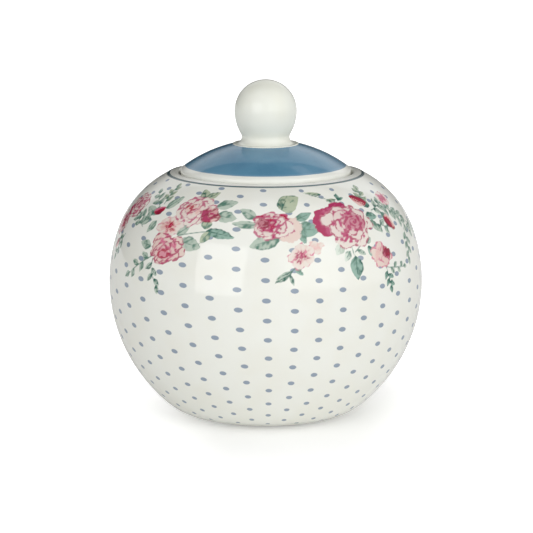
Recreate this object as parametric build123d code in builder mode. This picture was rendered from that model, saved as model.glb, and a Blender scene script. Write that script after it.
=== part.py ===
from build123d import *
import math
import os

# A lidded sugar bowl in glazed ceramic: a ball-shaped bowl that stands on a narrow ring, and a lid
# made of a shallow dome and a ball knob. Millimetres, +Z up. The origin is the centre of the plane
# that the bowl stands on, and every piece is turned round the Z axis.

# Bowl, outside
belly_r = 55.0  # the ball that most of the outside follows
belly_z = 47.0  # height of the ball's centre
wall = 3.8
shoulder_start = 20.0  # degrees above the ball's centre
shoulder_r = 34.9  # flattens the ball's top towards the rim
rim_r = 34.1  # where the shoulder turns into the rim
lower_start = -35.0  # degrees: below this the body is a little fuller than the ball
lower_r = 62.0
base_round_r = 20.0  # rolls the lower body under into the standing ring

# Bowl, mouth: the rim rises slightly to a shallow seat, which the lid drops into
seat_r = 30.4
seat_depth = 1.6
rim_rise = 0.6
mouth_r = 25.0
rim_round = 1.0
lip_round = 0.8

# Bowl, underside
foot_inner_r = 18.0
foot_recess = 1.2
foot_round = 0.4

# Lid dome
seat_clearance = 0.6
flange_clearance = 0.8
flange_depth = 7.5  # how far the locating flange reaches below the seat
flange_wall = 2.6
flange_round = 0.8
dome_r = 49.4
dome_centre_z = 47.35
lid_edge_round = 1.5
lid_under_round = 0.4
vent_r = 2.5  # lets the air out of the hollow knob in the kiln

# Lid knob
knob_r = 10.85
knob_rise = 11.7  # from the dome's flat land to the centre of the knob's round top
knob_lower_r = 16.0  # the knob tapers to its neck along this arc
neck_round = 2.2
skirt_r = 11.5
skirt_edge = 0.3
bore_r = 4.5  # keeps the knob's clay about as thin as the rest


def on_arc(centre, radius, degrees):
    """The point of a circle at an angle, as (distance from the Z axis, height)."""
    turn = math.radians(degrees)
    return (centre[0] + radius * math.cos(turn), centre[1] + radius * math.sin(turn))


def other_side(hypotenuse, side):
    """The third side of a right-angled triangle."""
    return math.sqrt(hypotenuse**2 - side**2)


def arc_between(centre, radius, start, end):
    """An arc round a centre from one angle to another, in degrees."""
    return CenterArc(centre, radius, start, end - start)


def corner(sketch, x, z):
    """The sketch's corner nearest to a point."""
    return sketch.vertices().sort_by_distance((x, z))[0]


# Centres of the bowl's arcs. Each arc is tangent to the next.
belly_centre = (0.0, belly_z)
shoulder_centre = on_arc(belly_centre, belly_r - shoulder_r, shoulder_start)
lower_centre = on_arc(belly_centre, belly_r - lower_r, lower_start)
base_reach = other_side(lower_r - base_round_r, lower_centre[1] - base_round_r)
base_centre = (lower_centre[0] + base_reach, base_round_r)
base_end = math.degrees(math.atan2(base_round_r - lower_centre[1], base_reach))
rim_end = math.degrees(math.acos((rim_r - shoulder_centre[0]) / shoulder_r))

# The inside follows the outside at the wall's thickness, up to a shoulder that closes in level on
# the mouth and leaves the lip thick enough to carry the seat.
inner_belly_r = belly_r - wall
inner_shoulder_r = inner_belly_r - mouth_r / math.cos(math.radians(shoulder_start))
inner_shoulder_centre = on_arc(belly_centre, inner_belly_r - inner_shoulder_r, shoulder_start)
lip_under_z = inner_shoulder_centre[1] + inner_shoulder_r

rim_z = on_arc(shoulder_centre, shoulder_r, rim_end)[1]
rim_top_z = rim_z + rim_rise
seat_z = rim_top_z - seat_depth

with BuildPart() as bowl:
    with BuildSketch(Plane.XZ) as bowl_section:
        with BuildLine():
            arc_between(base_centre, base_round_r, -90, base_end)
            arc_between(lower_centre, lower_r, base_end, lower_start)
            arc_between(belly_centre, belly_r, lower_start, shoulder_start)
            arc_between(shoulder_centre, shoulder_r, shoulder_start, rim_end)
            Polyline(
                (rim_r, rim_z),
                (seat_r, rim_top_z),
                (seat_r, seat_z),
                (mouth_r, seat_z),
                (mouth_r, lip_under_z),
            )
            arc_between(inner_shoulder_centre, inner_shoulder_r, 90, shoulder_start)
            arc_between(belly_centre, inner_belly_r, shoulder_start, lower_start)
            arc_between(lower_centre, lower_r - wall, lower_start, base_end)
            arc_between(base_centre, base_round_r - wall, base_end, -90)
            Polyline(
                (base_centre[0], wall),
                (0, wall),
                (0, foot_recess),
                (foot_inner_r, foot_recess),
                (foot_inner_r, 0),
                (base_centre[0], 0),
            )
        make_face()
        fillet(corner(bowl_section, rim_r, rim_z), rim_round)
        fillet(corner(bowl_section, seat_r, rim_top_z), lip_round)
        fillet(corner(bowl_section, mouth_r, seat_z), lip_round)
        fillet(corner(bowl_section, mouth_r, lip_under_z), lip_round)
        fillet(corner(bowl_section, foot_inner_r, foot_recess), foot_round)
        fillet(corner(bowl_section, foot_inner_r, 0), foot_round)
    revolve(axis=Axis.Z)

lid_r = seat_r - seat_clearance
flange_r = mouth_r - flange_clearance
flange_inner_r = flange_r - flange_wall
flange_z = seat_z - flange_depth
dome_under_r = dome_r - wall
lid_edge_z = dome_centre_z + other_side(dome_r, lid_r)
land_z = dome_centre_z + other_side(dome_r, skirt_r)
under_edge_z = dome_centre_z + other_side(dome_under_r, flange_inner_r)
under_vent_z = dome_centre_z + other_side(dome_under_r, vent_r)

# The dome rests by its flat underside on the bowl's seat, its flange hangs loosely in the mouth, and
# its top is cut flat where the knob stands.
with BuildPart() as lid_dome:
    with BuildSketch(Plane.XZ) as dome_section:
        with BuildLine():
            ThreePointArc(
                (skirt_r, land_z),
                (mouth_r, dome_centre_z + other_side(dome_r, mouth_r)),
                (lid_r, lid_edge_z),
            )
            Polyline(
                (lid_r, lid_edge_z),
                (lid_r, seat_z),
                (flange_r, seat_z),
                (flange_r, flange_z),
                (flange_inner_r, flange_z),
                (flange_inner_r, under_edge_z),
            )
            ThreePointArc(
                (flange_inner_r, under_edge_z),
                (skirt_r, dome_centre_z + other_side(dome_under_r, skirt_r)),
                (vent_r, under_vent_z),
            )
            Polyline((vent_r, under_vent_z), (vent_r, land_z), (skirt_r, land_z))
        make_face()
        fillet(corner(dome_section, lid_r, lid_edge_z), lid_edge_round)
        fillet(corner(dome_section, lid_r, seat_z), lid_under_round)
        fillet(corner(dome_section, flange_r, flange_z), flange_round)
        fillet(corner(dome_section, flange_inner_r, flange_z), flange_round)
        fillet(corner(dome_section, flange_inner_r, under_edge_z), flange_wall)
    revolve(axis=Axis.Z)

knob_z = land_z + knob_rise
knob_lower_centre = (knob_r - knob_lower_r, knob_z)
neck_z = land_z + skirt_edge + neck_round
neck_reach = other_side(knob_lower_r + neck_round, knob_z - neck_z)
neck_centre = (knob_lower_centre[0] + neck_reach, neck_z)
neck_start = math.degrees(math.atan2(neck_z - knob_z, neck_reach))

# The knob stands on the dome's flat land with a thin flared skirt, and is hollow up the middle.
with BuildPart() as lid_knob:
    with BuildSketch(Plane.XZ):
        with BuildLine():
            arc_between((0, knob_z), knob_r, 90, 0)
            arc_between(knob_lower_centre, knob_lower_r, 0, neck_start)
            arc_between(neck_centre, neck_round, 180 + neck_start, 270)
            Polyline(
                (neck_centre[0], land_z + skirt_edge),
                (skirt_r, land_z + skirt_edge),
                (skirt_r, land_z),
                (bore_r, land_z),
                (bore_r, knob_z),
            )
            arc_between((0, knob_z), bore_r, 0, 90)
            Line((0, knob_z + bore_r), (0, knob_z + knob_r))
        make_face()
    revolve(axis=Axis.Z)

bowl.part.label = "bowl"
lid_dome.part.label = "lid_dome"
lid_knob.part.label = "lid_knob"

os.makedirs("parts", exist_ok=True)
export_step(bowl.part, "parts/bowl.step")
export_step(lid_dome.part, "parts/lid_dome.step")
export_step(lid_knob.part, "parts/lid_knob.step")
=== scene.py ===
import math
import bpy
import numpy as np
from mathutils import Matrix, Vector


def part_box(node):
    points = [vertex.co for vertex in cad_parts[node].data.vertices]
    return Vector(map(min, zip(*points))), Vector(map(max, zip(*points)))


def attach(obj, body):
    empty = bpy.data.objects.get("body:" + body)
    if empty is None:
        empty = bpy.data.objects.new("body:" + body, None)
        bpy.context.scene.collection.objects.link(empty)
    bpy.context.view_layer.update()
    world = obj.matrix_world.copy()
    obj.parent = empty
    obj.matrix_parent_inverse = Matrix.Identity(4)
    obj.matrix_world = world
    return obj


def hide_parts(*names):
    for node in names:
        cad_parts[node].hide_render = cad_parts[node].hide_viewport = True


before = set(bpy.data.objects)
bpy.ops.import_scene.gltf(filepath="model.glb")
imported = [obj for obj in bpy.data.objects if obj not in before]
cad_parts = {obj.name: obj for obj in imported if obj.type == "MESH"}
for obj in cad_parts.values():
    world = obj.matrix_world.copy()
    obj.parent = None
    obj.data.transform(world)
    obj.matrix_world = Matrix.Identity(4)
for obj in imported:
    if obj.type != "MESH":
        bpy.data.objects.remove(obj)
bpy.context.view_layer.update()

# ---- The printed garland: paint laid on the unrolled wall of the bowl ----
# A place on the wall is an azimuth in degrees, 0 at the front and rising to the right, and a height in
# millimetres along the wall from the widest part. The garland repeats after half a turn.

REPEAT = 180.0
RAISED = 0.6  # half the rise of the garland in front and behind
FAR = -2.0  # millimetres outside any paint
WAVES = 6  # that add up to smooth noise
MARGIN = 1.5  # millimetres round a shape that still get its depth
COAT_EDGE = 0.25  # half the width of the soft edge of one coat on another
STALK_WIDE = 0.34
VEIN_PITCH = 1.7
CALYX_LEAN = 24  # degrees between a bud and each leaf of its calyx
SPRIG_LEAN = 48.0  # and between a stalk and its leaves
SWIRL_PITCH = 1.25  # millimetres between the turns of the stroke in a rose's heart
BOLD_HALF = 26.0  # degrees to each side of a bold direction of a rose
# How many petals a rose has in each ring, how far out they lie and their size, from the outside in
RINGS = ((7, 0.6, 0.4), (6, 0.44, 0.36), (5, 0.3, 0.28), (4, 0.17, 0.2), (3, 0.07, 0.12))
# About how far the wall is from the axis, at heights along it
RADIUS_AT = ((-10.0, 0.0, 19.0, 32.0, 40.0, 46.0), (54.1, 55.0, 51.7, 45.3, 39.8, 34.2))


def tone(red, green, blue):
    """A colour given in 0..255 display numbers, as linear light."""
    shown = np.array([red, green, blue]) / 255.0
    return ((shown + 0.055) / 1.055) ** 2.4


MAGENTA = tone(168, 36, 86)
WINE = tone(134, 10, 50)
ROSE = tone(182, 72, 112)
PINK = tone(206, 110, 138)
BLUSH = tone(224, 186, 180)
PEACH = tone(224, 204, 194)
CREAM = tone(226, 216, 207)
CRIMSON = tone(170, 10, 54)
TEAL = tone(24, 90, 76)
FERN = tone(84, 124, 108)
SEA = tone(140, 172, 158)
SAGE = tone(180, 194, 180)
MIST = tone(214, 223, 211)
OLIVE = tone(180, 190, 164)
GREY_BLUE = tone(143, 156, 171)


def smooth(low, high, value):
    """0 below low, 1 above high, and an S-curve between."""
    share = np.clip((value - low) / (high - low), 0.0, 1.0)
    return share * share * (3.0 - 2.0 * share)


def mix(first, second, share):
    """Colours between two, one for each share."""
    share = np.asarray(share, float)[:, None]
    return first * (1.0 - share) + second * share


def wander(x, y, size, seed):
    """Smooth noise between about -1 and 1, with features of about that size in millimetres."""
    rng = np.random.default_rng(seed)
    total = np.zeros_like(x)
    for _ in range(WAVES):
        way, start = rng.uniform(0.0, math.tau, 2)
        rate = rng.uniform(0.7, 1.5) * math.pi / size
        total += np.sin((x * math.cos(way) + y * math.sin(way)) * rate + start)
    return total / (WAVES / 2)


def turned(x, y, degrees):
    """Offsets as seen from axes turned anticlockwise by that much."""
    turn = math.radians(degrees)
    return x * math.cos(turn) + y * math.sin(turn), y * math.cos(turn) - x * math.sin(turn)


def curved(x, y, degrees, length, bend):
    """Offsets along and across a line that starts in that direction and bends aside by that share of
    its length, and how far they are past its ends."""
    along, across = turned(x, y, degrees)
    across = across - bend * length * (along / length) ** 2
    return along, across, np.abs(along - np.clip(along, 0.0, length))


def apart(first, second, whole=360.0):
    """The turn from the second direction to the first, at most half of the whole either way."""
    return (first - second + whole / 2) % whole - whole / 2


class Print:
    """Two coats of paint on the wall: fill, and ink over it. Each point holds the colour of the nearest
    paint, and how many millimetres inside its edge the point is, which is negative outside."""

    def __init__(self, azimuth, height, radius):
        self.azimuth, self.radius = azimuth, radius
        self.height = height - RAISED * (1.0 + np.cos(2.0 * np.radians(azimuth)))
        count = len(azimuth)
        self.fill, self.ink = np.ones((count, 3)), np.ones((count, 3))
        self.fill_depth, self.ink_depth = np.full(count, FAR), np.full(count, FAR)

    def near(self, azimuth, height, reach):
        """The points near a place, and their offsets from it to the right and up."""
        right = np.radians(apart(self.azimuth, azimuth, REPEAT)) * self.radius
        up = self.height - height
        picked = np.flatnonzero((abs(right) < reach) & (abs(up) < reach))
        return picked, right[picked], up[picked]

    def lay(self, picked, depth, colour):
        """Fills a shape, over what is there already."""
        old = self.fill_depth[picked]
        over = np.where(old > 0.0, smooth(-COAT_EDGE, COAT_EDGE, depth), depth > old)
        self.fill[picked] = mix(self.fill[picked], colour, over)
        self.fill_depth[picked] = np.maximum(old, depth)
        self.ink_depth[picked] = np.minimum(self.ink_depth[picked], -depth)

    def draw(self, picked, depth, colour):
        """Inks a stroke over the fill."""
        old = self.ink_depth[picked]
        self.ink[picked] = mix(self.ink[picked], colour, (depth > old) | (depth > 0.0))
        self.ink_depth[picked] = np.maximum(old, depth)


def blob(x, y, half_wide, half_high, wobble=0.0, waves=3, start=0.0):
    """How deep points are inside a wobbly ellipse."""
    way = np.arctan2(y / half_high, x / half_wide)
    edge = 1.0 + wobble * np.sin(waves * way + start)
    edge += 0.5 * wobble * np.sin((2 * waves + 1) * way + 1.7 * start)
    scale = 1.0 / np.hypot(np.cos(way) / half_wide, np.sin(way) / half_high)
    return (edge - np.hypot(x / half_wide, y / half_high)) * scale


def leaf(paint, azimuth, height, turn, length, width, dark=FERN, pale=SAGE, bend=0.0):
    """A pointed leaf from its stalk end, with a dark midrib and one half in shade."""
    picked, x, y = paint.near(azimuth, height, length + MARGIN)
    along, across, past = curved(x, y, turn, length, bend)
    share = np.clip(along / length, 0.0, 1.0)
    swell = np.sin(math.pi * share**0.8)
    half = 0.5 * width * swell**0.85
    seed = int(abs(azimuth * 7 + height * 13))
    depth = np.where(past > 0.0, -np.hypot(past, across), (half - np.abs(across)) * 0.9)
    depth = depth + 0.1 * wander(x, y, 1.1, seed + 1)
    veins = 0.16 * np.sin((along - 0.9 * np.abs(across)) * math.tau / VEIN_PITCH)
    shade = 0.34 * smooth(-0.2, 0.3, across) + 0.46 * (1.0 - share) + veins + 0.4 * wander(x, y, 1.7, seed)
    paint.lay(picked, depth, mix(pale, dark, smooth(0.28, 1.0, shade)))
    rib = 0.2 * (1.1 - share) - np.abs(across) + 0.02
    rib = np.where((along < 0.0) | (along > 0.8 * length), FAR, rib)
    edge = np.where(across > 0.0, 0.1 + 0.12 * wander(x, y, 1.6, seed + 2) - np.abs(depth), FAR)
    paint.draw(picked, np.maximum(rib, edge), dark)


def stem(paint, azimuth, height, turn, length, bend=0.0):
    """A thin curved stalk."""
    picked, x, y = paint.near(azimuth, height, length + MARGIN)
    _, across, past = curved(x, y, turn, length, bend)
    paint.draw(picked, 0.5 * STALK_WIDE - np.hypot(past, across), FERN)


def rose(paint, azimuth, height, wide, high, core=(0.0, 0.0), turn=0.0, rings=RINGS, pale=CREAM,
         body=PINK, deep=MAGENTA, line=MAGENTA, heart=WINE, lit=(0.0, 0.0), bold=(), swirl=0.3, seed=1):
    """A cabbage rose: rings of overlapping petals that close in on a heart of curled strokes. The
    heart's place, core, is in shares of the half sizes, and its radius, swirl, is a share of the half
    height. Each petal is shaded in flat strokes, darkest towards the heart, but the outer ones near a
    bold direction have the body colour and deep outer edges. Higher lit values make the outer and the
    inner petals paler."""
    picked, x, y = paint.near(azimuth, height, 0.62 * max(wide, high) + MARGIN)
    x, y = turned(x, y, turn)
    half_wide, half_high = wide / 2, high / 2
    rng = np.random.default_rng(seed)
    for ring, (count, reach, size) in enumerate(rings):
        inward = ring / (len(rings) - 1)
        start = rng.uniform(0.0, math.tau)
        for petal in rng.permutation(count):
            way = start + math.tau * petal / count + rng.normal(0.0, 0.15)
            middle_x = (core[0] * inward + reach * math.cos(way)) * half_wide
            middle_y = (core[1] * inward + reach * math.sin(way)) * half_high
            grow = size * rng.uniform(0.85, 1.2)
            depth = blob(x - middle_x, y - middle_y, grow * half_wide, grow * half_high,
                         wobble=0.1, start=rng.uniform(0.0, math.tau))
            depth = depth + 0.2 * wander(x, y, 1.0, rng.integers(1 << 30))
            out = ((x - middle_x) * math.cos(way) + (y - middle_y) * math.sin(way)) / (grow * half_high)
            brush = out + 0.3 * wander(x * 1.4, y * 1.4, 1.5, rng.integers(1 << 30))
            level = rng.uniform(-0.3, 0.4) - lit[0] * (1.0 - inward) - lit[1] * inward
            colour = mix(deep, body, smooth(level - 0.8, level - 0.6, brush))
            colour = mix(colour, pale + (body - pale) * 0.35 * inward, smooth(level, level + 0.12, brush))
            if ring == 0 and any(abs(apart(math.degrees(way), side)) < BOLD_HALF for side in bold):
                colour = mix(body, deep, smooth(0.35, 0.5, brush))
            paint.lay(picked, depth, colour)
            edge = 0.18 + 0.16 * wander(x, y, 1.8, rng.integers(1 << 30))
            paint.draw(picked, edge - np.abs(depth - 0.12), line)
    x, y = x - core[0] * half_wide, y - core[1] * half_high
    out = np.hypot(x / half_wide, y / half_high) * half_high + 0.3 * wander(x, y, 1.5, seed)
    reach = swirl * half_high
    paint.lay(picked, reach - out, pale + (body - pale) * 0.75)
    curl = (out / SWIRL_PITCH - np.arctan2(y, x) / math.tau) % 1.0
    stroke = (0.2 + 0.26 * wander(x, y, 1.4, seed + 1) - np.abs(curl - 0.5)) * SWIRL_PITCH
    stroke = np.where(out > reach + 0.3, FAR, stroke)
    paint.draw(picked, stroke, heart)


def blossom(paint, azimuth, height, wide, high, petals=5, heart=MAGENTA, pale=BLUSH, line=PINK,
            turn=0.0, seed=1):
    """An open flower of soft petals, streaked from its heart."""
    picked, x, y = paint.near(azimuth, height, 0.62 * max(wide, high) + MARGIN)
    x, y = turned(x, y, turn)
    half_wide, half_high = wide / 2, high / 2
    way = np.arctan2(y / half_high, x / half_wide)
    out = np.hypot(x / half_wide, y / half_high)
    for petal in range(petals):
        lean = math.tau * petal / petals
        depth = blob(x - 0.52 * half_wide * math.cos(lean), y - 0.52 * half_high * math.sin(lean),
                     0.5 * half_wide, 0.46 * half_high, wobble=0.08, start=lean + seed)
        depth = depth + 0.2 * wander(x, y, 1.0, seed + 40 + petal)
        streak = 0.3 * np.sin(way * 13 + seed) + 0.45 * wander(x, y, 1.6, seed + petal)
        colour = mix(heart, pale, smooth(0.22, 0.46, out + 0.5 * streak))
        colour = mix(colour, CREAM, smooth(0.5, 0.8, out + 0.4 * streak))
        paint.lay(picked, depth, colour)
        edge = 0.05 + 0.2 * wander(x, y, 1.8, seed + 9 * petal)
        paint.draw(picked, edge - np.abs(depth - 0.1), line)
    depth = blob(x, y, 0.13 * half_wide, 0.16 * half_high, wobble=0.2, waves=5)
    paint.draw(picked, depth, heart)


def bud(paint, azimuth, height, turn, length, width, pale=BLUSH):
    """A closed bud on its calyx, from the stalk end, with its petals folded lengthwise."""
    for lean in (CALYX_LEAN, -CALYX_LEAN):
        leaf(paint, azimuth, height, turn + lean, 0.6 * length, 0.4 * width, TEAL, SEA)
    picked, x, y = paint.near(azimuth, height, length + MARGIN)
    along, across = turned(x, y, turn)
    seed = int(abs(azimuth)) + 3
    depth = blob(along - 0.6 * length, across, 0.42 * length, 0.5 * width, wobble=0.1, start=azimuth)
    folds = across / width * 1.2 + 0.2 * wander(along * 0.5, across * 2.0, 1.2, seed)
    colour = mix(CRIMSON, pale, smooth(0.14, 0.26, folds))
    colour = mix(colour, WINE, smooth(0.1, 0.3, -folds))
    paint.lay(picked, depth, colour)
    fold = 0.2 - np.abs(across - 0.16 * width * np.cos(along * 1.2))
    fold = np.where((along < 0.4 * length) | (along > 0.9 * length), FAR, fold)
    paint.draw(picked, fold, WINE)


def sprig(paint, azimuth, height, turn, length, leaves=4, size=3.0, bend=0.0, dark=FERN, pale=SAGE):
    """A stalk with small leaves to both sides and one at its tip."""
    stem(paint, azimuth, height, turn, length, bend)
    way = math.radians(turn)
    radius = np.interp(height, *RADIUS_AT)
    for step in range(leaves):
        share = (step + 1) / leaves
        along = length * share
        side = bend * length * share**2
        right = along * math.cos(way) - side * math.sin(way)
        up = along * math.sin(way) + side * math.cos(way)
        lean = SPRIG_LEAN if step % 2 else -SPRIG_LEAN
        lean = 0.0 if step == leaves - 1 else lean
        at = azimuth + math.degrees(right / radius)
        leaf(paint, at, height + up, turn + lean + 40.0 * bend * share, size * (1.1 - 0.25 * share),
             size * 0.54, dark, pale)


def garland(paint):
    """Half a turn of roses, blossoms, buds and leaves, from left to right."""
    # Leaves and sprigs behind the flowers
    for azimuth, height, turn, length, width in (
        (-22.5, 34.6, 18, 7.2, 4.0), (-21.5, 31.2, -10, 7.6, 4.4), (-49.0, 32.0, 52, 7.6, 3.4),
        (-34.5, 21.0, -14, 8.6, 4.8), (-37.0, 23.0, 38, 5.6, 3.4), (-4.0, 30.4, 146, 6.5, 3.6),
        (-3.0, 27.6, 176, 9.2, 2.8), (5.5, 23.2, 197, 11.0, 5.2), (-48.5, 18.0, 172, 6.0, 3.2),
        (-54.0, 29.5, 160, 6.5, 3.6), (-55.0, 27.5, 200, 6.0, 3.4), (-50.5, 27.0, 238, 5.4, 3.0),
    ):
        leaf(paint, azimuth, height, turn, length, width)
    for azimuth, height, turn, length, width in (
        (12.5, 29.5, 24, 6.5, 3.2), (12.6, 26.4, -8, 8.0, 5.6), (13.6, 25.5, -72, 5.0, 2.6),
    ):
        leaf(paint, azimuth, height, turn, length, width, FERN, SEA)
    leaf(paint, 30.0, 20.0, -125, 4.4, 3.2, SAGE, MIST)
    leaf(paint, 33.2, 17.6, -128, 4.4, 2.4, FERN, MIST)
    stem(paint, 34.0, 20.0, -84, 5.6, 0.1)
    stem(paint, 35.4, 17.0, 34, 5.6, 0.1)
    leaf(paint, 35.2, 15.6, -92, 8.0, 5.2, TEAL, SEA)
    leaf(paint, 36.6, 17.6, -30, 3.8, 1.8)
    leaf(paint, 42.0, 18.6, -62, 5.4, 2.8, TEAL, SEA)
    leaf(paint, 41.6, 19.6, 34, 3.2, 2.0, TEAL, SAGE)
    leaf(paint, -30.5, 38.0, 112, 4.8, 3.2, TEAL, OLIVE)
    leaf(paint, -30.0, 37.6, 42, 5.6, 3.0, TEAL, OLIVE)
    stem(paint, -36.0, 22.8, 14, 12.5, -0.06)
    leaf(paint, -24.8, 25.6, 84, 4.4, 3.8, FERN, OLIVE)
    leaf(paint, -24.0, 25.0, -8, 10.5, 3.4, TEAL, SEA, -0.06)
    leaf(paint, -22.5, 24.6, -128, 4.8, 3.2, FERN, OLIVE)
    sprig(paint, -46.0, 15.0, 205, 13.5, 5, 4.0, 0.12)
    sprig(paint, -46.0, 14.0, 262, 8.5, 5, 3.6, 0.5, TEAL, SAGE)
    stem(paint, 10.6, 12.8, 226, 4.6, 0.1)
    leaf(paint, 9.8, 11.8, 204, 6.4, 1.5, TEAL, SAGE)
    leaf(paint, 8.6, 10.4, 206, 5.6, 1.6, TEAL, SAGE)
    leaf(paint, 8.8, 10.4, 288, 3.8, 1.3, TEAL, SAGE)
    leaf(paint, 10.6, 12.6, 320, 4.0, 1.6, FERN, SEA)
    stem(paint, 36.0, 35.4, 148, 10.0, 0.1)
    leaf(paint, 29.0, 40.0, 168, 6.0, 1.6, TEAL, OLIVE)
    leaf(paint, 36.4, 36.6, 74, 3.6, 1.6, TEAL, SEA)
    leaf(paint, 35.0, 37.2, 184, 4.0, 1.5, TEAL, OLIVE)
    leaf(paint, 36.4, 36.8, 20, 2.8, 1.3, TEAL, SEA)
    sprig(paint, 49.5, 10.5, -72, 6.5, 5, 3.2, -0.1, TEAL, SEA)
    sprig(paint, 50.0, 10.5, -8, 10.0, 5, 2.8, 0.05)
    sprig(paint, 50.0, 34.0, 70, 7.0, 5, 3.4, -0.1, FERN, OLIVE)
    sprig(paint, 52.0, 31.0, 14, 10.0, 6, 3.8, 0.05, TEAL, SAGE)
    sprig(paint, 49.0, 26.4, -22, 9.0, 5, 3.6, 0.1, TEAL, SAGE)
    leaf(paint, 47.0, 29.5, -12, 5.4, 3.0, TEAL, SEA)
    leaf(paint, 48.0, 27.4, -58, 5.4, 2.8)
    sprig(paint, 60.0, 33.0, -40, 12.0, 7, 4.0, 0.1)
    sprig(paint, 66.0, 31.0, -60, 13.0, 7, 4.0, 0.1)
    sprig(paint, 70.0, 22.0, -100, 10.0, 6, 3.6, -0.1)
    sprig(paint, 76.0, 24.0, -30, 10.0, 6, 3.6, 0.1)
    sprig(paint, -52.0, 33.6, 104, 8.0, 6, 3.2, -0.1, FERN, OLIVE)
    sprig(paint, -53.0, 32.0, 146, 9.0, 5, 3.6, -0.1)
    sprig(paint, -54.0, 27.0, 176, 9.5, 5, 3.8, -0.1)
    sprig(paint, -58.0, 24.0, 150, 8.0, 5, 3.6, 0.1)
    sprig(paint, -70.0, 20.0, 235, 9.0, 6, 3.4, 0.1)
    # A broad round leaf above the middle rose
    leaf(paint, 5.8, 34.6, 22, 8.4, 7.6, FERN, OLIVE, 0.2)
    leaf(paint, 7.2, 33.8, 70, 5.6, 4.4, TEAL, OLIVE, -0.1)
    # Buds
    bud(paint, 53.0, 32.9, 142, 7.6, 4.4)
    bud(paint, 57.5, 29.6, -62, 7.4, 4.2)
    bud(paint, -56.5, 29.4, 24, 6.0, 3.2, PINK)
    bud(paint, -74.0, 17.5, 220, 5.0, 2.8)
    # Open blossoms
    blossom(paint, -42.0, 25.6, 11.5, 8.0, petals=6, heart=CRIMSON, turn=10, seed=2)
    blossom(paint, 19.0, 19.4, 6.4, 4.8, petals=4, heart=BLUSH, pale=PEACH, line=BLUSH, turn=20, seed=7)
    blossom(paint, 13.4, 16.6, 10.0, 8.6, pale=PEACH, turn=35, seed=4)
    blossom(paint, 67.5, 34.5, 8.0, 6.4, pale=PINK, turn=5, seed=6)
    # Roses
    rose(paint, -32.2, 32.5, 15.0, 12.4, core=(-0.3, 0.25), turn=12, body=BLUSH, deep=PINK, line=ROSE,
         heart=CRIMSON, lit=(0.3, -0.2), swirl=0.24, seed=11)
    rose(paint, -24.6, 31.0, 7.6, 6.0, core=(0.3, 0.3), turn=-20, rings=((4, 0.5, 0.5), (3, 0.2, 0.4)),
         pale=BLUSH, body=MAGENTA, line=WINE, heart=PINK, lit=(-0.1, 0.1), bold=(270.0, 200.0), swirl=0.0,
         seed=12)
    rose(paint, -40.3, 17.8, 15.6, 11.0, core=(-0.15, -0.3), pale=PEACH, heart=CRIMSON, lit=(0.0, -0.4),
         seed=13)
    rose(paint, 9.8, 26.0, 9.0, 9.0, rings=((5, 0.5, 0.5), (3, 0.2, 0.5)), pale=PEACH, body=PEACH,
         deep=BLUSH, line=PEACH, heart=BLUSH, lit=(0.5, 0.5), swirl=0.0, seed=14)
    rose(paint, 3.0, 27.6, 14.0, 11.0, core=(-0.5, 0.15), body=MAGENTA, deep=CRIMSON, line=ROSE,
         lit=(0.1, -0.6), bold=(160.0, 40.0), seed=15)
    rose(paint, 34.2, 27.2, 23.2, 16.4, core=(0.34, 0.1), turn=-6, body=ROSE, heart=MAGENTA,
         lit=(0.0, -0.15), bold=(175.0, 120.0, 215.0), swirl=0.38, seed=16)
    rose(paint, 47.8, 14.8, 10.0, 9.2, core=(0.45, 0.0), rings=((5, 0.5, 0.5), (4, 0.3, 0.4)),
         pale=PEACH, body=BLUSH, deep=BLUSH, line=PINK, heart=BLUSH, lit=(0.3, 0.5), swirl=0.0, seed=17)
    rose(paint, 51.2, 15.4, 3.6, 4.4, rings=((4, 0.4, 0.6), (3, 0.1, 0.4)), pale=PINK, body=CRIMSON,
         deep=WINE, line=WINE, lit=(-0.2, -0.5), swirl=0.0, seed=21)
    rose(paint, -72.5, 31.0, 13.0, 10.0, core=(0.1, 0.1), turn=20, lit=(0.0, -0.3), bold=(180.0,), seed=18)
    rose(paint, -80.0, 23.0, 12.0, 9.0, core=(0.2, 0.0), heart=CRIMSON, lit=(0.1, -0.3), seed=19)


# ---- Meshes ----

MM = 0.001
COLUMNS = 216  # round the plain parts of a piece
FINE = 3  # times as many columns where the garland is painted
FINE_STEP = 0.43  # millimetres between rows there
STEP = 3.4  # and elsewhere, unless a span says otherwise
CORNER_STEPS = 6
SAME = 1e-6  # millimetres between points that count as one

# The bowl's and the lid's sections, in millimetres, as the CAD model has them
WALL = 3.8
BELLY_Z = 47.0
BELLY_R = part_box("bowl")[1].x / MM
SHOULDER_FROM, SHOULDER_R = 20.0, 34.9
LOWER_FROM, LOWER_R = -35.0, 62.0
BASE_R = 20.0
RIM_R, SEAT_R, MOUTH_R = 34.1, 30.4, 25.0
RIM_RISE, SEAT_DEPTH = 0.6, 1.6
FOOT_R, FOOT_RECESS = 18.0, 1.2
LID_R = 29.8
FLANGE_R, FLANGE_WALL, FLANGE_DEPTH = 24.2, 2.6, 7.5
DOME_R, DOME_Z = 49.4, 47.35
VENT_R = 2.5
KNOB_R, KNOB_RISE, KNOB_LOWER_R = 10.85, 11.7, 16.0
NECK_R, SKIRT_R, SKIRT_EDGE, BORE_R = 2.2, 11.5, 0.3, 4.5
FOOT_ROUND, RIM_ROUND, LIP_ROUND = 0.4, 1.0, 0.8  # the rounding of their corners
FLANGE_ROUND, EDGE_ROUND, UNDER_ROUND, SKIRT_ROUND = 0.8, 1.5, 0.4, 0.2
GARLAND_FROM, GARLAND_TO = -3.0, 46.0  # the lowest and highest painted places, along the wall


def on_arc(centre, radius, degrees):
    """The point of a circle at an angle."""
    turn = math.radians(degrees)
    return (centre[0] + radius * math.cos(turn), centre[1] + radius * math.sin(turn))


def other_side(hypotenuse, side):
    """The third side of a right-angled triangle."""
    return math.sqrt(hypotenuse**2 - side**2)


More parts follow.
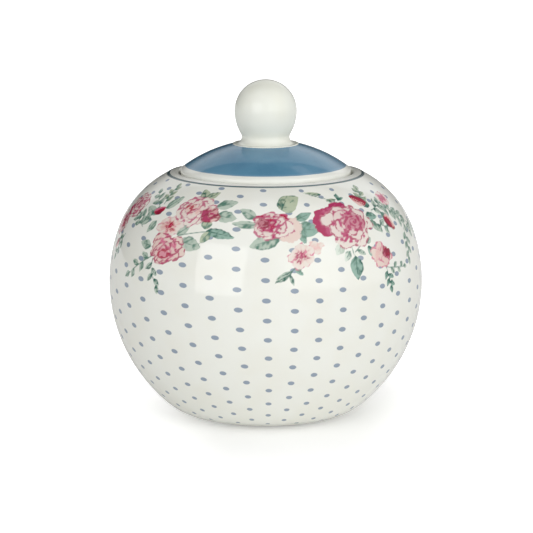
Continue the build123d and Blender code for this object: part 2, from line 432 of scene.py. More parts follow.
def arc(centre, radius, start, end, step=STEP):
    """Points (distance from the axis, height) along an arc, in steps of about that many millimetres."""
    count = max(3, round(abs(math.radians(end - start)) * radius / step) + 1)
    turn = np.radians(np.linspace(start, end, count))
    return np.stack([centre[0] + radius * np.cos(turn), centre[1] + radius * np.sin(turn)], 1)


def straight(start, end, step=STEP):
    """Points along a straight line, in steps of about that many millimetres."""
    count = max(2, round(math.dist(start, end) / step) + 1)
    return np.linspace(start, end, count)


def trimmed(points, length):
    """The points without that much of their end."""
    left = np.cumsum(np.hypot(*np.diff(points[::-1], axis=0).T))
    keep = np.searchsorted(left, length)
    before, after = points[-keep - 1], points[-keep - 2]
    beyond = length - (left[keep - 1] if keep else 0.0)
    share = beyond / math.dist(before, after)
    return np.vstack([points[: -keep - 1], before + (after - before) * share])


def section(spans):
    """One row of points from spans of (points, radius that rounds the corner at their end, fine), and
    which of them lie in fine spans."""
    parts = [[points, is_fine] for points, _, is_fine in spans]
    bends = []
    for (_, radius, _), here, after in zip(spans, parts, parts[1:]):
        if not radius:
            bends.append(np.empty((0, 2)))
            continue
        corner = after[0][0]
        came, goes = corner - here[0][-2], after[0][1] - corner
        turn = abs(math.atan2(came[0] * goes[1] - came[1] * goes[0], came @ goes))
        reach = radius * math.tan(turn / 2)
        here[0] = trimmed(here[0], reach)
        after[0] = trimmed(after[0][::-1], reach)[::-1]
        share = np.linspace(0.0, 1.0, CORNER_STEPS + 1)[1:-1, None]
        bend = (1 - share) ** 2 * here[0][-1] + 2 * share * (1 - share) * corner
        bends.append(bend + share**2 * after[0][0])
    bends.append(np.empty((0, 2)))
    points = np.vstack([np.vstack([row, bend]) for (row, _), bend in zip(parts, bends)])
    fine = []
    for (row, is_fine), bend in zip(parts, bends):
        fine += [is_fine] * len(row) + [False] * len(bend)
    fresh = np.concatenate([[True], np.hypot(*np.diff(points, axis=0).T) > SAME])
    return points[fresh], np.array(fine)[fresh]


def lengths(points, zero_at):
    """How far along the row each point is, from the one nearest to zero_at."""
    along = np.concatenate([[0.0], np.cumsum(np.hypot(*np.diff(points, axis=0).T))])
    return along - along[np.argmin(np.hypot(*(points - np.array(zero_at)).T))]


def turned_mesh(name, points, fine, zero_at):
    """A mesh of the section turned round the Z axis, with true normals. It has the wall's length from
    the row nearest zero_at as the attribute wall. Returns the object, and each corner's azimuth."""
    closed = math.dist(points[0], points[-1]) < SAME
    if closed:
        points, fine = points[:-1], fine[:-1]
    along = lengths(points, zero_at)
    slope = np.gradient(points, along, axis=0)
    slope /= np.hypot(*slope.T)[:, None]
    counts = np.where(fine, COLUMNS * FINE, COLUMNS)
    counts[points[:, 0] < SAME] = 1
    firsts = np.concatenate([[0], np.cumsum(counts)])
    row = np.repeat(np.arange(len(points)), counts)
    azimuth = np.concatenate([np.arange(n) * 360.0 / n - 180.0 for n in counts])
    turn = np.radians(azimuth)
    around = np.stack([np.sin(turn), -np.cos(turn)], 1)
    places = np.column_stack([around * points[row, :1], points[row, 1]]) * MM
    normals = np.column_stack([around * slope[row, 1:], -slope[row, 0]])
    faces, azimuths = [], []
    for i in range(len(points) if closed else len(points) - 1):
        above = (i + 1) % len(points)
        cell = np.arange(COLUMNS if 1 in (counts[i], counts[above]) else min(counts[i], counts[above]))
        sides = []
        for first, count, backward in ((firsts[i], counts[i], False), (firsts[above], counts[above], True)):
            if count == 1:
                sides.append((np.full((len(cell), 1), first), (cell[:, None] + 0.5) / len(cell)))
                continue
            times = count // len(cell)
            place = cell[:, None] * times + np.arange(times + 1)
            if backward:
                place = place[:, ::-1]
            sides.append((first + place % count, place / count))
        faces += np.hstack([s[0] for s in sides]).tolist()
        azimuths.append((np.hstack([s[1] for s in sides]) * 360.0 - 180.0).ravel())
    mesh = bpy.data.meshes.new(name)
    mesh.from_pydata(places.tolist(), [], faces)
    mesh.polygons.foreach_set("use_smooth", np.ones(len(mesh.polygons), bool))
    mesh.normals_split_custom_set_from_vertices(normals.tolist())
    mesh.attributes.new("wall", "FLOAT", "POINT").data.foreach_set("value", along[row])
    piece = bpy.data.objects.new(name, mesh)
    bpy.context.scene.collection.objects.link(piece)
    return piece, np.concatenate(azimuths)


def bowl_section():
    """The bowl's spans, from the middle underneath round the outside and back inside, and the height
    of the seat."""
    belly = (0.0, BELLY_Z)
    shoulder = on_arc(belly, BELLY_R - SHOULDER_R, SHOULDER_FROM)
    lower = on_arc(belly, BELLY_R - LOWER_R, LOWER_FROM)
    reach = other_side(LOWER_R - BASE_R, lower[1] - BASE_R)
    base = (lower[0] + reach, BASE_R)
    base_end = math.degrees(math.atan2(BASE_R - lower[1], reach))
    rim_end = math.degrees(math.acos((RIM_R - shoulder[0]) / SHOULDER_R))
    rim_z = on_arc(shoulder, SHOULDER_R, rim_end)[1]
    top_z = rim_z + RIM_RISE
    seat_z = top_z - SEAT_DEPTH
    inner_r = BELLY_R - WALL
    inner_shoulder_r = inner_r - MOUTH_R / math.cos(math.radians(SHOULDER_FROM))
    inner_shoulder = on_arc(belly, inner_r - inner_shoulder_r, SHOULDER_FROM)
    lip_z = inner_shoulder[1] + inner_shoulder_r
    band = math.degrees(GARLAND_FROM / BELLY_R)
    spans = [
        (straight((0.0, FOOT_RECESS), (FOOT_R, FOOT_RECESS)), FOOT_ROUND, False),
        (straight((FOOT_R, FOOT_RECESS), (FOOT_R, 0.0), step=0.3), FOOT_ROUND, False),
        (straight((FOOT_R, 0.0), (base[0], 0.0)), 0, False),
        (arc(base, BASE_R, -90, base_end), 0, False),
        (arc(lower, LOWER_R, base_end, LOWER_FROM), 0, False),
        (arc(belly, BELLY_R, LOWER_FROM, band), 0, False),
        (arc(belly, BELLY_R, band, SHOULDER_FROM, step=FINE_STEP), 0, True),
        (arc(shoulder, SHOULDER_R, SHOULDER_FROM, rim_end, step=FINE_STEP), RIM_ROUND, True),
        (straight((RIM_R, rim_z), (SEAT_R, top_z), step=0.9), LIP_ROUND, False),
        (straight((SEAT_R, top_z), (SEAT_R, seat_z), step=0.4), 0, False),
        (straight((SEAT_R, seat_z), (MOUTH_R, seat_z)), LIP_ROUND, False),
        (straight((MOUTH_R, seat_z), (MOUTH_R, lip_z), step=0.9), LIP_ROUND, False),
        (arc(inner_shoulder, inner_shoulder_r, 90, SHOULDER_FROM), 0, False),
        (arc(belly, inner_r, SHOULDER_FROM, LOWER_FROM), 0, False),
        (arc(lower, LOWER_R - WALL, LOWER_FROM, base_end), 0, False),
        (arc(base, BASE_R - WALL, base_end, -90), 0, False),
        (straight((base[0], WALL), (0.0, WALL)), 0, False),
    ]
    return spans, seat_z


def dome_section(seat_z):
    """The dome's spans, from the vent round underneath and back over the top, and the height of the
    land that the knob stands on."""
    centre = (0.0, DOME_Z)
    under_r = DOME_R - WALL
    flange_inner = FLANGE_R - FLANGE_WALL
    flange_z = seat_z - FLANGE_DEPTH
    land_z = DOME_Z + other_side(DOME_R, SKIRT_R)
    edge_z = DOME_Z + other_side(DOME_R, LID_R)
    under_z = DOME_Z + other_side(under_r, flange_inner)
    vent_z = DOME_Z + other_side(under_r, VENT_R)

    def lean(radius, across):
        """Where an arc round the centre is that far from the axis, in degrees."""
        return math.degrees(math.acos(across / radius))

    spans = [
        (straight((VENT_R, land_z), (VENT_R, vent_z)), 0, False),
        (arc(centre, under_r, lean(under_r, VENT_R), lean(under_r, flange_inner)), FLANGE_WALL, False),
        (straight((flange_inner, under_z), (flange_inner, flange_z)), FLANGE_ROUND, False),
        (straight((flange_inner, flange_z), (FLANGE_R, flange_z), step=0.5), FLANGE_ROUND, False),
        (straight((FLANGE_R, flange_z), (FLANGE_R, seat_z)), 0, False),
        (straight((FLANGE_R, seat_z), (LID_R, seat_z)), UNDER_ROUND, False),
        (straight((LID_R, seat_z), (LID_R, edge_z), step=0.5), EDGE_ROUND, False),
        (arc(centre, DOME_R, lean(DOME_R, LID_R), lean(DOME_R, SKIRT_R), step=0.7), 0, False),
        (straight((SKIRT_R, land_z), (VENT_R, land_z)), 0, False),
    ]
    return spans, land_z


def knob_section(land_z):
    """The knob's spans, from the top of its bore down and back up over the outside."""
    middle = (0.0, land_z + KNOB_RISE)
    lower = (KNOB_R - KNOB_LOWER_R, middle[1])
    neck_z = land_z + SKIRT_EDGE + NECK_R
    reach = other_side(KNOB_LOWER_R + NECK_R, middle[1] - neck_z)
    neck = (lower[0] + reach, neck_z)
    neck_turn = math.degrees(math.atan2(neck_z - middle[1], reach))
    skirt_top = land_z + SKIRT_EDGE
    return [
        (arc(middle, BORE_R, 90, 0, step=0.7), 0, False),
        (straight((BORE_R, middle[1]), (BORE_R, land_z)), 0, False),
        (straight((BORE_R, land_z), (SKIRT_R, land_z)), 0, False),
        (straight((SKIRT_R, land_z), (SKIRT_R, skirt_top), step=0.1), SKIRT_ROUND, False),
        (straight((SKIRT_R, skirt_top), (neck[0], skirt_top), step=0.4), 0, False),
        (arc(neck, NECK_R, 270, 180 + neck_turn, step=0.25), 0, False),
        (arc(lower, KNOB_LOWER_R, neck_turn, 0, step=0.5), 0, False),
        (arc(middle, KNOB_R, 0, 90, step=0.5), 0, False),
    ]


# ---- Glazes ----

GLAZE_IOR = 1.5
SWELL_SIZE, SWELL_HIGH = 9.0, 0.04  # millimetres, of the glaze's slow waves
KNOB_SWELL_HIGH = 0.024
PEEL_SIZE, PEEL_HIGH = 1.2, 0.002  # and of its fine ripples


class Nodes:
    """The nodes of a new material or world, with short calls for those that this scene uses."""

    def __init__(self, owner):
        self.owner = owner
        owner.use_nodes = True
        self.tree = owner.node_tree
        self.tree.nodes.clear()

    def add(self, kind, **settings):
        """A new node with those settings."""
        node = self.tree.nodes.new(kind)
        for key, value in settings.items():
            setattr(node, key, value)
        return node

    def put(self, socket, value):
        """Links a socket to an output, or sets it."""
        if isinstance(value, bpy.types.NodeSocket):
            self.tree.links.new(value, socket)
        elif isinstance(value, np.ndarray):
            socket.default_value = (*value, 1.0)
        else:
            socket.default_value = value

    def maths(self, operation, first, second=0.0, third=0.0):
        """The result of an operation on numbers or outputs."""
        node = self.add("ShaderNodeMath", operation=operation)
        for socket, value in zip(node.inputs, (first, second, third)):
            self.put(socket, value)
        return node.outputs[0]

    def step(self, value, low, high, to_low=0.0, to_high=1.0):
        """A soft step from to_low to to_high as the value goes from low to high."""
        node = self.add("ShaderNodeMapRange", interpolation_type="SMOOTHSTEP")
        for socket, number in zip(node.inputs, (value, low, high, to_low, to_high)):
            self.put(socket, number)
        return node.outputs[0]

    def blend(self, share, first, second):
        """Colours between two."""
        node = self.add("ShaderNodeMix", data_type="RGBA")
        self.put(node.inputs[0], share)
        self.put(node.inputs[6], first)
        self.put(node.inputs[7], second)
        return node.outputs[2]

    def noise(self, size, detail=2.0, offset=0.0):
        """Noise from 0 to 1 with features of about that size in millimetres."""
        place = self.add("ShaderNodeTexCoord").outputs["Object"]
        node = self.add("ShaderNodeTexNoise", noise_dimensions="4D")
        self.put(node.inputs["Vector"], place)
        self.put(node.inputs["W"], offset)
        self.put(node.inputs["Scale"], 1.0 / (size * MM))
        self.put(node.inputs["Detail"], detail)
        return node.outputs["Fac"]

    def attribute(self, name, output="Fac"):
        """What the mesh stores under that name."""
        return self.add("ShaderNodeAttribute", attribute_name=name).outputs[output]

    def bump(self, height, distance):
        """Waves of that height in millimetres, where the noise goes from 0 to 1."""
        node = self.add("ShaderNodeBump")
        self.put(node.inputs["Strength"], 1.0)
        self.put(node.inputs["Distance"], distance * MM)
        self.put(node.inputs["Height"], height)
        return node

    def glazed(self, colour, roughness, swell_high=SWELL_HIGH):
        """Finishes the material as a clear glaze over that colour, slightly wavy as fired glaze is."""
        shader = self.add("ShaderNodeBsdfPrincipled")
        self.put(shader.inputs["Base Color"], colour)
        self.put(shader.inputs["Roughness"], roughness)
        self.put(shader.inputs["IOR"], GLAZE_IOR)
        swell = self.bump(self.noise(SWELL_SIZE, detail=1.0, offset=3.0), swell_high)
        peel = self.bump(self.noise(PEEL_SIZE, detail=1.0, offset=5.0), PEEL_HIGH)
        self.put(peel.inputs["Normal"], swell.outputs[0])
        self.put(shader.inputs["Normal"], peel.outputs[0])
        output = self.add("ShaderNodeOutputMaterial")
        self.put(output.inputs["Surface"], shader.outputs[0])
        return self.owner


GLAZE_WHITE = tone(235, 236, 229)
GLAZE_WARM = tone(233, 233, 224)  # where it lies thick
KNOB_WHITE = tone(233, 235, 226)
KNOB_WARM = tone(230, 231, 219)
BARE_CLAY = tone(226, 219, 206)
LINE_GREY = tone(64, 90, 95)
LID_BLUE = tone(93, 140, 167)
LID_THIN = tone(118, 154, 178)
LID_DEEP = tone(83, 129, 158)

# Roughness
BOWL_GLOSS, LID_GLOSS, KNOB_GLOSS = 0.03, 0.05, 0.04
PRINT_MATT = 0.06  # more of it on the print
CLAY_MATT = 0.7

POOL_SIZE, POOL_EDGE = 14.0, (0.35, 0.7)  # where white glaze lies thick: millimetres, and noise
FILL_EDGE, INK_EDGE = (-0.14, 0.14), (-0.2, 0.12)  # depths between which the paint fades in
INK_COVER = 0.85
CLAY_EDGE = 0.8  # the soft width of the edge of the glaze underneath
CLAY_R = 22.6  # the bowl is bare inside of this
LINE_ABOVE = 0.2  # from the top of the wall to the middle of the line round the rim
LINE_EDGE = (0.42, 0.72)  # and from there to its soft edge

BLUE_R = 28.2  # the blue on the dome ends here
BLUE_RAGGED = 0.25  # how far its edge wanders
BLUE_EDGE, THIN_EDGE = (0.0, 0.3), (0.2, 1.4)  # where the blue starts, and is thin, from there inwards
THIN_SHARE = 0.7
CLOUD_EDGE = (0.3, 0.75)
SPECK_EDGE, SPECK_SHARE = (0.68, 0.74), 0.35

DOT_COLUMNS = 40
DOT_PITCH = 6.82  # millimetres
DOT_HALF_WIDE = 1.38  # degrees
DOT_HALF_HIGH = 0.84
DOT_EDGE = (0.96, 1.2)  # soft, in shares of the dots' half sizes
DOT_RAGGED = 0.16
DOT_REACH = (-55.0, 42.0)  # the lowest and highest places with dots
DOT_TURN, DOT_START = 1.3, 3.1  # where the dot nearest to the front's middle is
DOT_SAG, DOT_TILT = 1.87, 1.34  # millimetres
DOT_LEAN, DOT_LEAN_FROM = 0.0044, -24.0  # a share for each millimetre above that height
DOT_LEAN_SIDE, DOT_LEAN_FADE = 10.0, (-165.0, -60.0)  # degrees


def white(nodes, thin=GLAZE_WHITE, thick=GLAZE_WARM):
    """White glaze, a little warmer where it lies thick."""
    return nodes.blend(nodes.step(nodes.noise(POOL_SIZE), *POOL_EDGE), thin, thick)


def dot_mask(nodes):
    """Staggered columns of flat oval dots."""
    place = nodes.add("ShaderNodeUVMap", uv_map="dots").outputs[0]
    split = nodes.add("ShaderNodeSeparateXYZ")
    nodes.put(split.inputs[0], place)
    column_wide = 360.0 / DOT_COLUMNS
    column = nodes.maths("ROUND", nodes.maths("DIVIDE", split.outputs[0], column_wide))
    across = nodes.maths("SUBTRACT", split.outputs[0], nodes.maths("MULTIPLY", column, column_wide))
    stagger = nodes.maths("FLOORED_MODULO", column, 2.0)
    height = nodes.maths("DIVIDE", split.outputs[1], DOT_PITCH)
    height = nodes.maths("MULTIPLY_ADD", stagger, -0.5, height)
    up = nodes.maths("MULTIPLY", nodes.maths("SUBTRACT", height, nodes.maths("ROUND", height)), DOT_PITCH)
    across = nodes.maths("DIVIDE", across, DOT_HALF_WIDE)
    up = nodes.maths("DIVIDE", up, DOT_HALF_HIGH)
    squares = nodes.maths("MULTIPLY_ADD", across, across, nodes.maths("MULTIPLY", up, up))
    ragged = nodes.maths("MULTIPLY", nodes.noise(size=1.4, detail=1.0), DOT_RAGGED)
    far = nodes.maths("ADD", nodes.maths("SQRT", squares), ragged)
    dots = nodes.step(far, *DOT_EDGE, 1.0, 0.0)
    low = nodes.maths("GREATER_THAN", split.outputs[1], DOT_REACH[0])
    high = nodes.maths("LESS_THAN", split.outputs[1], DOT_REACH[1])
    return nodes.maths("MULTIPLY", dots, nodes.maths("MULTIPLY", low, high))


def printed_glaze(line_at, clay_at):
    """White with dots, the line round the rim and the garland, down to bare clay underneath."""
    nodes = Nodes(bpy.data.materials.new("printed_glaze"))
    wall = nodes.attribute("wall")
    fill = nodes.step(nodes.attribute("fill_depth"), *FILL_EDGE)
    ink = nodes.step(nodes.attribute("ink_depth"), *INK_EDGE)
    dots = dot_mask(nodes)
    off_line = nodes.maths("ABSOLUTE", nodes.maths("SUBTRACT", wall, line_at))
    line = nodes.step(off_line, *LINE_EDGE, 1.0, 0.0)
    colour = nodes.blend(dots, white(nodes), GREY_BLUE)
    colour = nodes.blend(line, colour, LINE_GREY)
    colour = nodes.blend(fill, colour, nodes.attribute("fill", "Color"))
    colour = nodes.blend(nodes.maths("MULTIPLY", ink, INK_COVER), colour, nodes.attribute("ink", "Color"))
    bare = nodes.step(wall, clay_at, clay_at + CLAY_EDGE, 1.0, 0.0)
    colour = nodes.blend(bare, colour, BARE_CLAY)
    printed = nodes.maths("MAXIMUM", nodes.maths("MAXIMUM", fill, dots), line)
    roughness = nodes.maths("MULTIPLY_ADD", printed, PRINT_MATT, BOWL_GLOSS)
    roughness = nodes.maths("MAXIMUM", roughness, nodes.maths("MULTIPLY", bare, CLAY_MATT))
    return nodes.glazed(colour, roughness)


def blue_glaze(edge_at):
    """Blue on the dome, thin at its edge, and white on the rolled edge and underneath."""
    nodes = Nodes(bpy.data.materials.new("blue_glaze"))
    ragged = nodes.noise(size=5.0, offset=1.0)
    wall = nodes.maths("MULTIPLY_ADD", ragged, BLUE_RAGGED, nodes.attribute("wall"))
    top = nodes.step(wall, edge_at + BLUE_EDGE[0], edge_at + BLUE_EDGE[1])
    cloud = nodes.step(nodes.noise(size=7.0, detail=4.0, offset=2.0), *CLOUD_EDGE)
    blue = nodes.blend(cloud, LID_BLUE, LID_DEEP)
    thin = nodes.step(wall, edge_at + THIN_EDGE[0], edge_at + THIN_EDGE[1], 1.0, 0.0)
    blue = nodes.blend(nodes.maths("MULTIPLY", thin, THIN_SHARE), blue, LID_THIN)
    speck = nodes.step(nodes.noise(size=0.5, detail=1.0, offset=4.0), *SPECK_EDGE, 0.0, SPECK_SHARE)
    blue = nodes.blend(speck, blue, LID_THIN)
    return nodes.glazed(nodes.blend(top, white(nodes), blue), LID_GLOSS)


def white_glaze():
    """Plain white, for the knob."""
    nodes = Nodes(bpy.data.materials.new("white_glaze"))
    return nodes.glazed(white(nodes, KNOB_WHITE, KNOB_WARM), KNOB_GLOSS, KNOB_SWELL_HIGH)


# ---- Pieces ----


def finish_piece(piece, node, body, material):
    """Gives a piece its glaze and the body it moves with, and hides the CAD node it stands for."""
    piece.data.materials.append(material)
    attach(piece, body)
    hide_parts(node)


def scalar(mesh, name, values):
    """Stores a number at each vertex."""
    mesh.attributes.new(name, "FLOAT", "POINT").data.foreach_set("value", np.asarray(values, np.float32))


def coloured(mesh, name, colours):
    """Stores a colour at each vertex."""
    shown = np.column_stack([colours, np.ones(len(colours))]).astype(np.float32)
    mesh.attributes.new(name, "FLOAT_COLOR", "POINT").data.foreach_set("color", shown.ravel())


def dot_place(azimuth, height):
    """Where a place on the wall lies on the dots' print, which was laid on by hand: its rows sag a little
    to the sides, and its columns lean outwards to the left of the front."""
    turn = np.radians(azimuth)
    up = height - DOT_START + DOT_SAG * (1.0 - np.cos(turn)) + DOT_TILT * np.sin(turn)
    lean = DOT_LEAN * np.maximum(0.0, height - DOT_LEAN_FROM)
    fade = smooth(*DOT_LEAN_FADE, azimuth) * np.maximum(0.0, DOT_LEAN_SIDE - azimuth)
    return azimuth - DOT_TURN + lean / (1.0 + lean) * fade, up


def print_bowl(piece, azimuths):
    """Lays the dots' map and the garland's paint on the bowl's wall."""
    mesh = piece.data
    count = len(mesh.vertices)
    places = np.empty(count * 3, np.float32)
    mesh.vertices.foreach_get("co", places)
    x, y, _ = places.reshape(-1, 3).T / MM
    wall = np.empty(count, np.float32)
    mesh.attributes["wall"].data.foreach_get("value", wall)
    corners = np.empty(len(mesh.loops), np.int32)
    mesh.loops.foreach_get("vertex_index", corners)
    across, up = dot_place(azimuths, wall[corners])
    layer = mesh.uv_layers.new(name="dots")
    layer.data.foreach_set("uv", np.stack([across, up], 1).astype(np.float32).ravel())
    fill, ink = np.ones((count, 3)), np.ones((count, 3))
    fill_depth, ink_depth = np.full(count, FAR), np.full(count, FAR)
    band = np.flatnonzero((wall > GARLAND_FROM) & (wall < GARLAND_TO))
    azimuth, radius = np.degrees(np.arctan2(x, -y)), np.hypot(x, y)
    paint = Print(*(values[band].astype(float) for values in (azimuth, wall, radius)))
    garland(paint)
    fill[band], ink[band] = paint.fill, paint.ink
    fill_depth[band], ink_depth[band] = paint.fill_depth, paint.ink_depth
    coloured(mesh, "fill", fill)
    coloured(mesh, "ink", ink)
    scalar(mesh, "fill_depth", fill_depth)
    scalar(mesh, "ink_depth", ink_depth)


def make_bowl():
    """Makes the bowl, and returns the height of the seat."""
    spans, seat_z = bowl_section()
    points, fine = section(spans)
    piece, azimuths = turned_mesh("bowl_shell", points, fine, (BELLY_R, BELLY_Z))
    print_bowl(piece, azimuths)
    along = lengths(points, (BELLY_R, BELLY_Z))
    rim_at = along[np.flatnonzero(fine)[-1]]
    clay_at = along[np.argmin(np.hypot(points[:, 0] - CLAY_R, points[:, 1]))]
    finish_piece(piece, "bowl", "bowl", printed_glaze(rim_at + LINE_ABOVE, clay_at))
    return seat_z


def make_lid(seat_z):
    """Makes the dome and the knob on it."""
    spans, land_z = dome_section(seat_z)
    points, fine = section(spans)
    piece, _ = turned_mesh("lid_cap", points, fine, (SKIRT_R, land_z))
    reach = math.asin(BLUE_R / DOME_R) - math.asin(SKIRT_R / DOME_R)
    finish_piece(piece, "lid_dome", "lid", blue_glaze(-reach * DOME_R))
    points, fine = section(knob_section(land_z))
    piece, _ = turned_mesh("lid_ball_knob", points, fine, (KNOB_R, land_z + KNOB_RISE))
    finish_piece(piece, "lid_knob", "lid", white_glaze())


make_lid(make_bowl())

# ---- Studio ----

VIEW_UP = 10.3  # degrees that the camera stands above the bowl's belly
VIEW_FAR = 1.0  # metres
FRAME_WIDE = 0.1876  # metres across the picture at the bowl
SENSOR = 36.0
AIM = (0.0003, 0.0, BELLY_Z * MM + 0.0048)  # the middle of the picture
MIDDLE = (0.0, 0.0, 0.05)  # of the bowl, which the lamps face


def point_at(thing, place, target):
    """Puts a camera or a lamp at a place, and turns it to a target."""
    thing.location = place
    way = np.array(target) - np.array(place)
    flat = math.hypot(way[0], way[1])
    thing.rotation_euler = (math.atan2(flat, -way[2]), 0.0, math.atan2(-way[0], way[1]))


def around(azimuth, height, distance, centre=MIDDLE):
    """A place seen from the centre at an azimuth (0 in front, rising to the right) and a height in
    degrees."""
    turn, lift = math.radians(azimuth), math.radians(height)
    return (
        centre[0] + distance * math.sin(turn) * math.cos(lift),
        centre[1] - distance * math.cos(turn) * math.cos(lift),
        centre[2] + distance * math.sin(lift),
    )


def make_camera():
    data = bpy.data.cameras.new("camera")
    data.sensor_width = SENSOR
    data.lens = SENSOR * VIEW_FAR / FRAME_WIDE
    camera = bpy.data.objects.new("camera", data)
    bpy.context.scene.collection.objects.link(camera)
    point_at(camera, around(0.0, VIEW_UP, VIEW_FAR, AIM), AIM)
    bpy.context.scene.camera = camera


def panel(name, azimuth, height, distance, wide, high, power):
    """A bright pane that faces the bowl and only shows in its glaze."""
    data = bpy.data.lights.new(name, "AREA")
    data.shape = "RECTANGLE"
    data.size, data.size_y = wide, high
    data.energy = power
    light = bpy.data.objects.new(name, data)
    light.visible_camera = False
    light.visible_diffuse = False
    bpy.context.scene.collection.objects.link(light)
    point_at(light, around(azimuth, height, distance), MIDDLE)


FLOOR_HALF = 12.0
FLOOR_CELLS = 8  # along each side
PAPER, PAPER_GREY = tone(243, 243, 242), tone(241, 241, 240)
FLOOR_DROP = 0.00002  # keeps the floor just clear of the standing ring
FLOOR_LIGHT = 0.1  # what the light table gives in every direction
FLOOR_GLOW = (0.13, 0.56)  # and a painted glow that only the camera sees, near the bowl and far from it
FLOOR_GLOW_REACH = (0.033, 0.13)  # metres
FLOOR_GLOW_LEFT, FLOOR_GLOW_RIGHT = 0.34, 0.2  # more of the painted glow to the sides of the bowl, which lightens the bowl's shadow there
FLOOR_LEFT_SIDE, FLOOR_RIGHT_SIDE = (-0.045, -0.01), (0.03, 0.055)  # metres to the right


def make_floor():
    """White paper on a light table, with a painted glow that only the camera sees: weaker near the bowl, so
    that its shadow shows, and stronger to its sides, which lightens the shadow there.
    """
    side = np.linspace(-FLOOR_HALF, FLOOR_HALF, FLOOR_CELLS + 1)
    row = len(side)
    faces = [
        (j * row + i, j * row + i + 1, (j + 1) * row + i + 1, (j + 1) * row + i)
        for j in range(row - 1)
        for i in range(row - 1)
    ]
    mesh = bpy.data.meshes.new("floor")
    mesh.from_pydata([(x, y, -FLOOR_DROP) for y in side for x in side], [], faces)
    floor = bpy.data.objects.new("floor", mesh)
    bpy.context.scene.collection.objects.link(floor)
    nodes = Nodes(bpy.data.materials.new("floor_paper"))
    paper = nodes.add("ShaderNodeBsdfDiffuse")
    nodes.put(paper.inputs["Color"], nodes.blend(nodes.noise(size=40.0), PAPER, PAPER_GREY))
    far = nodes.add("ShaderNodeVectorMath", operation="LENGTH")
    place = nodes.add("ShaderNodeTexCoord").outputs["Object"]
    nodes.put(far.inputs[0], place)
    split = nodes.add("ShaderNodeSeparateXYZ")
    nodes.put(split.inputs[0], place)
    # Painted glow for the camera only: whitens the floor, weaker near the bowl, stronger to its sides,
    # lightening its shadow
    glow = nodes.step(far.outputs["Value"], *FLOOR_GLOW_REACH, *FLOOR_GLOW)
    glow = nodes.maths("ADD", glow, nodes.step(split.outputs[0], *FLOOR_LEFT_SIDE, FLOOR_GLOW_LEFT, 0.0))
    glow = nodes.maths("ADD", glow, nodes.step(split.outputs[0], *FLOOR_RIGHT_SIDE, 0.0, FLOOR_GLOW_RIGHT))
    seen = nodes.add("ShaderNodeLightPath").outputs["Is Camera Ray"]
    lit = nodes.add("ShaderNodeEmission")
    nodes.put(lit.inputs["Strength"], nodes.maths("MULTIPLY_ADD", glow, seen, FLOOR_LIGHT))
    both = nodes.add("ShaderNodeAddShader")
    nodes.put(both.inputs[0], paper.outputs[0])
    nodes.put(both.inputs[1], lit.outputs[0])
    nodes.put(nodes.add("ShaderNodeOutputMaterial").inputs["Surface"], both.outputs[0])
    mesh.materials.append(nodes.owner)


# Light from the room, by direction. A pair is where a soft step starts and ends, as the part of the
# direction that points right, back or up.
ROOM_HIGH = 0.15
ROOM_LEFT, ROOM_RIGHT = 0.1, 0.88
ROOM_FRONT, ROOM_FRONT_LOW = 1.74, 2.76  # everywhere in front, and more of it near the floor
GLAZE_FRONT = 1.0  # what the glaze shows of the room in front, besides the windows
GLAZE_FRONT_EDGE = (-0.14, -0.04)
CEILING = (0.885, 0.9)  # the walls end here
CEILING_LIGHT = 0.6  # which the glaze doesn't show
PIER = 2.2  # how much less comes from between the two windows
PIER_SIDE, PIER_LOW, PIER_HIGH = (0.25, 0.5), (0.02, 0.15), (0.5, 0.7)
BACK_LIGHT = 1.2  # from high on the wall behind
BACK_LOW, BACK_TOP, BACK_SLANT = (0.15, 0.45), (0.45, 0.485), 0.49


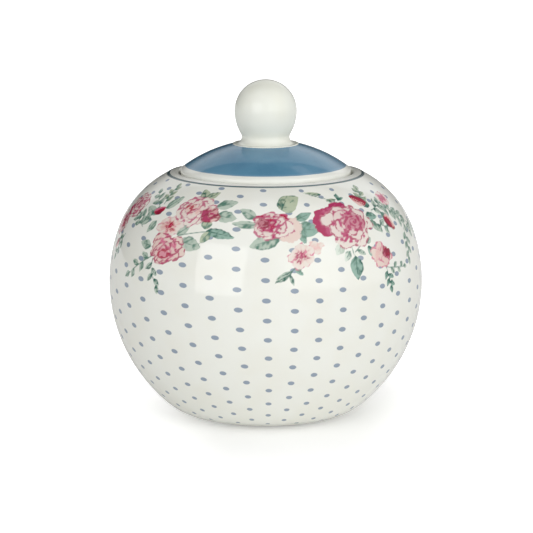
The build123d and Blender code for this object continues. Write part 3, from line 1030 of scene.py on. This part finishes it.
def make_world():
    """A room with bright walls and a dimmer ceiling. The camera sees plain white, and the glaze sees a
    plainer wall in front and a dark ceiling."""
    nodes = Nodes(bpy.data.worlds.new("studio"))
    split = nodes.add("ShaderNodeSeparateXYZ")
    nodes.put(split.inputs[0], nodes.add("ShaderNodeTexCoord").outputs["Generated"])
    right, back, up = split.outputs
    up = nodes.maths("MAXIMUM", up, 0.0)
    left = nodes.maths("MULTIPLY", right, -1.0)
    ahead = nodes.maths("MULTIPLY", back, -1.0)
    side = nodes.maths("ABSOLUTE", right)
    light = nodes.maths("MULTIPLY", up, ROOM_HIGH)
    light = nodes.maths("MULTIPLY_ADD", nodes.maths("MAXIMUM", right, 0.0), ROOM_RIGHT, light)
    light = nodes.maths("MULTIPLY_ADD", nodes.maths("MAXIMUM", left, 0.0), ROOM_LEFT, light)
    low = nodes.maths("POWER", nodes.maths("SUBTRACT", 1.0, up), 2.0)
    front = nodes.maths("MULTIPLY_ADD", low, ROOM_FRONT_LOW, ROOM_FRONT)
    pier = nodes.maths("MULTIPLY", nodes.step(side, *PIER_SIDE, PIER, 0.0), nodes.step(up, *PIER_LOW))
    pier = nodes.maths("MULTIPLY", pier, nodes.step(up, *PIER_HIGH, 1.0, 0.0))
    front = nodes.maths("SUBTRACT", front, pier)
    path = nodes.add("ShaderNodeLightPath")
    in_glaze = path.outputs["Is Glossy Ray"]
    under_glaze = nodes.maths("SUBTRACT", 1.0, in_glaze)
    front = nodes.maths("MULTIPLY", front, under_glaze)
    light = nodes.maths("MULTIPLY_ADD", nodes.maths("MAXIMUM", ahead, 0.0), front, light)
    light = nodes.maths("MULTIPLY", light, nodes.step(up, *CEILING, 1.0, 0.0))
    overhead = nodes.maths("MULTIPLY", nodes.step(up, *CEILING), CEILING_LIGHT)
    light = nodes.maths("MULTIPLY_ADD", overhead, under_glaze, light)
    plain = nodes.maths("MULTIPLY", nodes.step(ahead, *GLAZE_FRONT_EDGE), GLAZE_FRONT)
    light = nodes.maths("MULTIPLY_ADD", plain, in_glaze, light)
    wall = nodes.step(nodes.maths("MULTIPLY_ADD", side, -BACK_SLANT, back), *BACK_TOP)
    wall = nodes.maths("MULTIPLY", wall, nodes.step(up, *BACK_LOW))
    light = nodes.maths("MULTIPLY_ADD", nodes.maths("MULTIPLY", wall, back), BACK_LIGHT, light)
    room = nodes.add("ShaderNodeBackground")
    nodes.put(room.inputs["Strength"], nodes.maths("MAXIMUM", light, path.outputs["Is Camera Ray"]))
    nodes.put(nodes.add("ShaderNodeOutputWorld").inputs["Surface"], room.outputs[0])
    bpy.context.scene.world = nodes.owner


make_camera()
make_floor()
make_world()
panel("window_left", azimuth=-34.0, height=17.0, distance=1.35, wide=0.88, high=0.9, power=4.6)
panel("window_right", azimuth=35.0, height=18.0, distance=1.35, wide=1.0, high=0.75, power=2.0)
panel("skylight", azimuth=140.0, height=58.0, distance=1.4, wide=0.35, high=0.2, power=0.12)
bpy.context.scene.view_settings.view_transform = "Standard"
